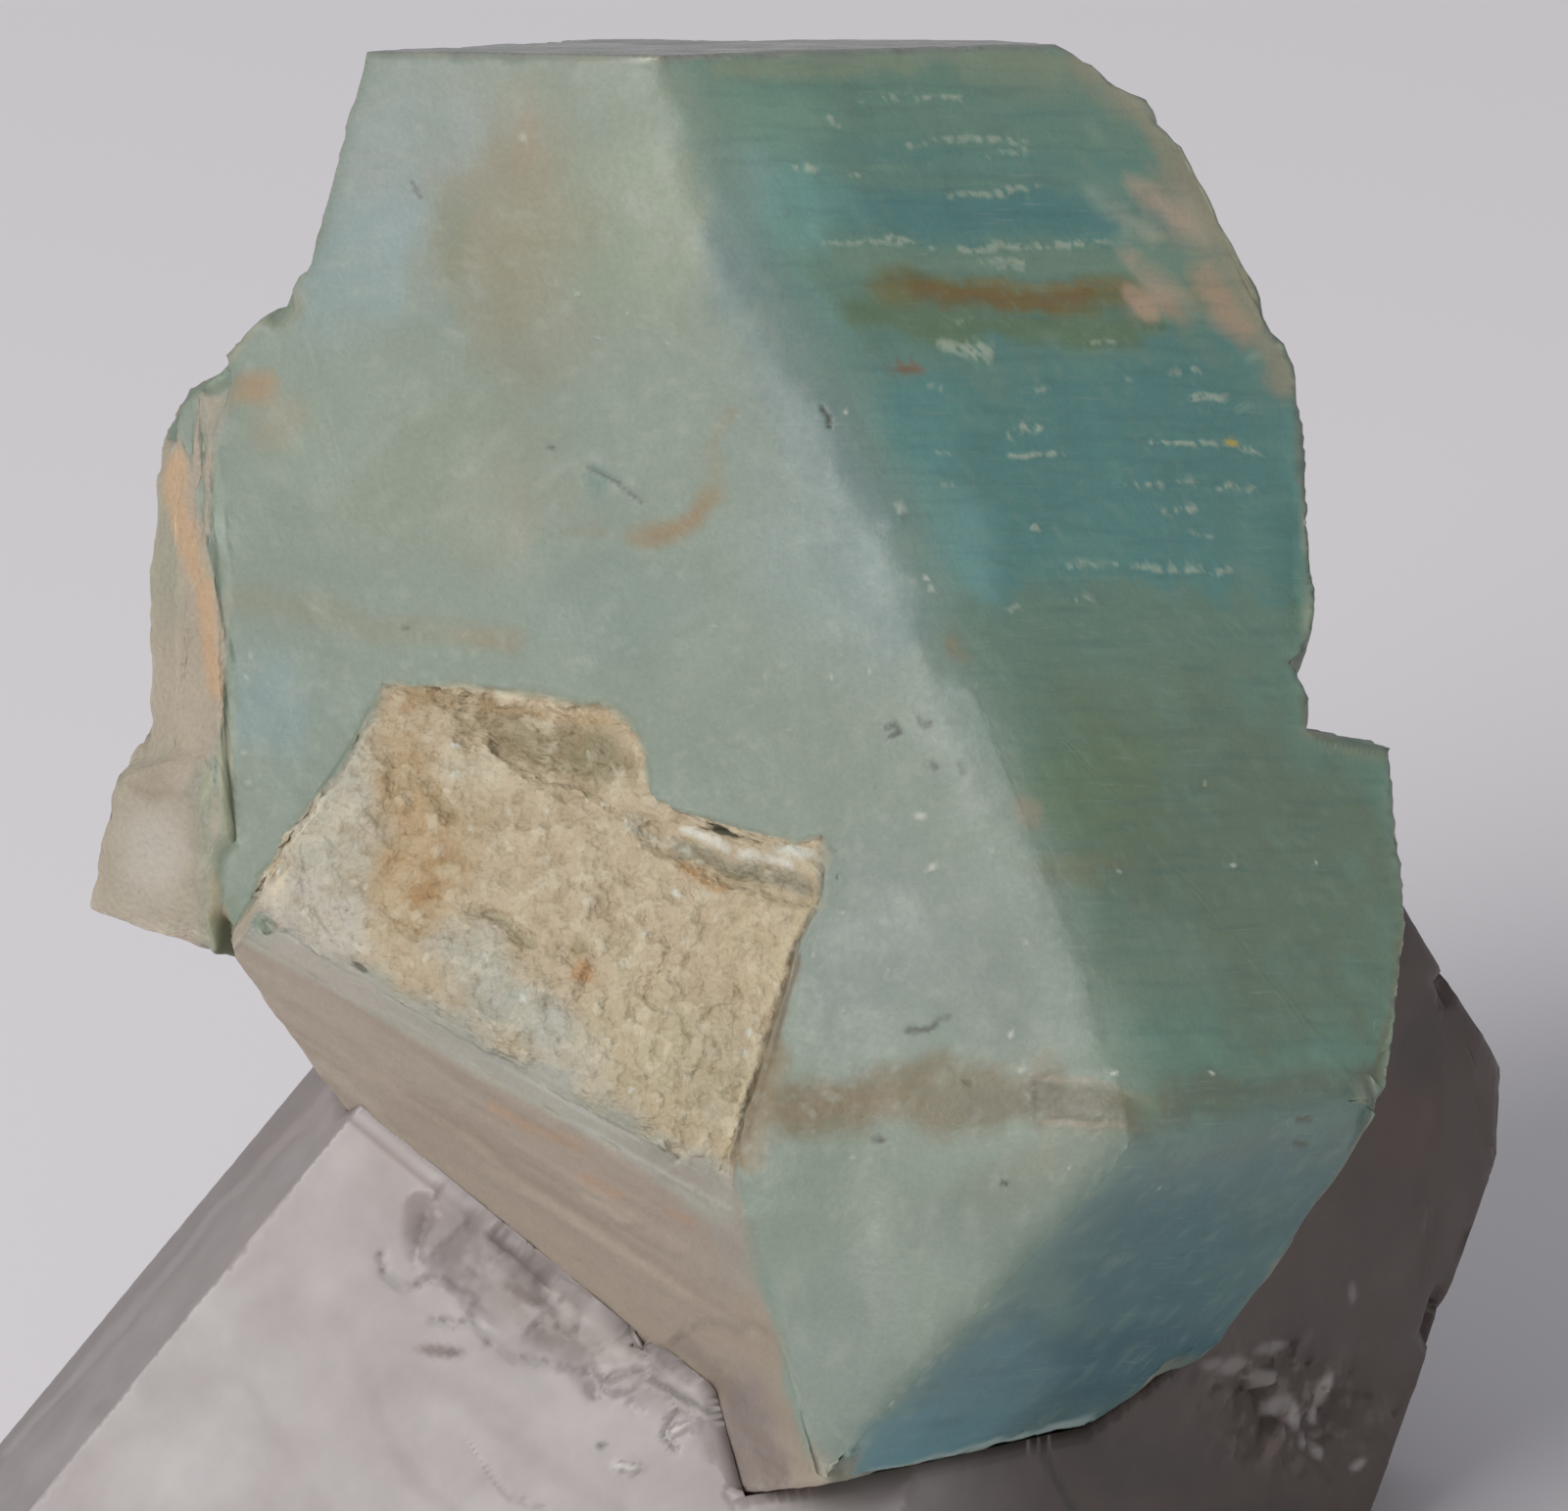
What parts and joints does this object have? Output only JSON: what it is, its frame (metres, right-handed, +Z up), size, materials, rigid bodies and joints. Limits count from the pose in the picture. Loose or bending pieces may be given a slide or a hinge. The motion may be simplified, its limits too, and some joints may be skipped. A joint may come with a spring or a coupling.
{
  "type": "raw amazonite specimen",
  "caption": "Rough blue-green amazonite crystal group, blocky and flat-faced, grown on smoky quartz that is cut flat underneath to stand on.",
  "frame": {"origin": "centre of the whole object's box in X and Y, at the flat cut base", "axes": "+Z up from the flat cut base, -Y towards the side the picture is taken from, +X to the right as seen from that side"},
  "size_m": [0.0496, 0.042, 0.0496],
  "materials": {
    "amazonite": "satin",
    "smoky_quartz": "gloss"
  },
  "bodies": {
    "root": {"amazonite": "amazonite", "smoky_quartz": "smoky_quartz"}
  },
  "joints": []
}
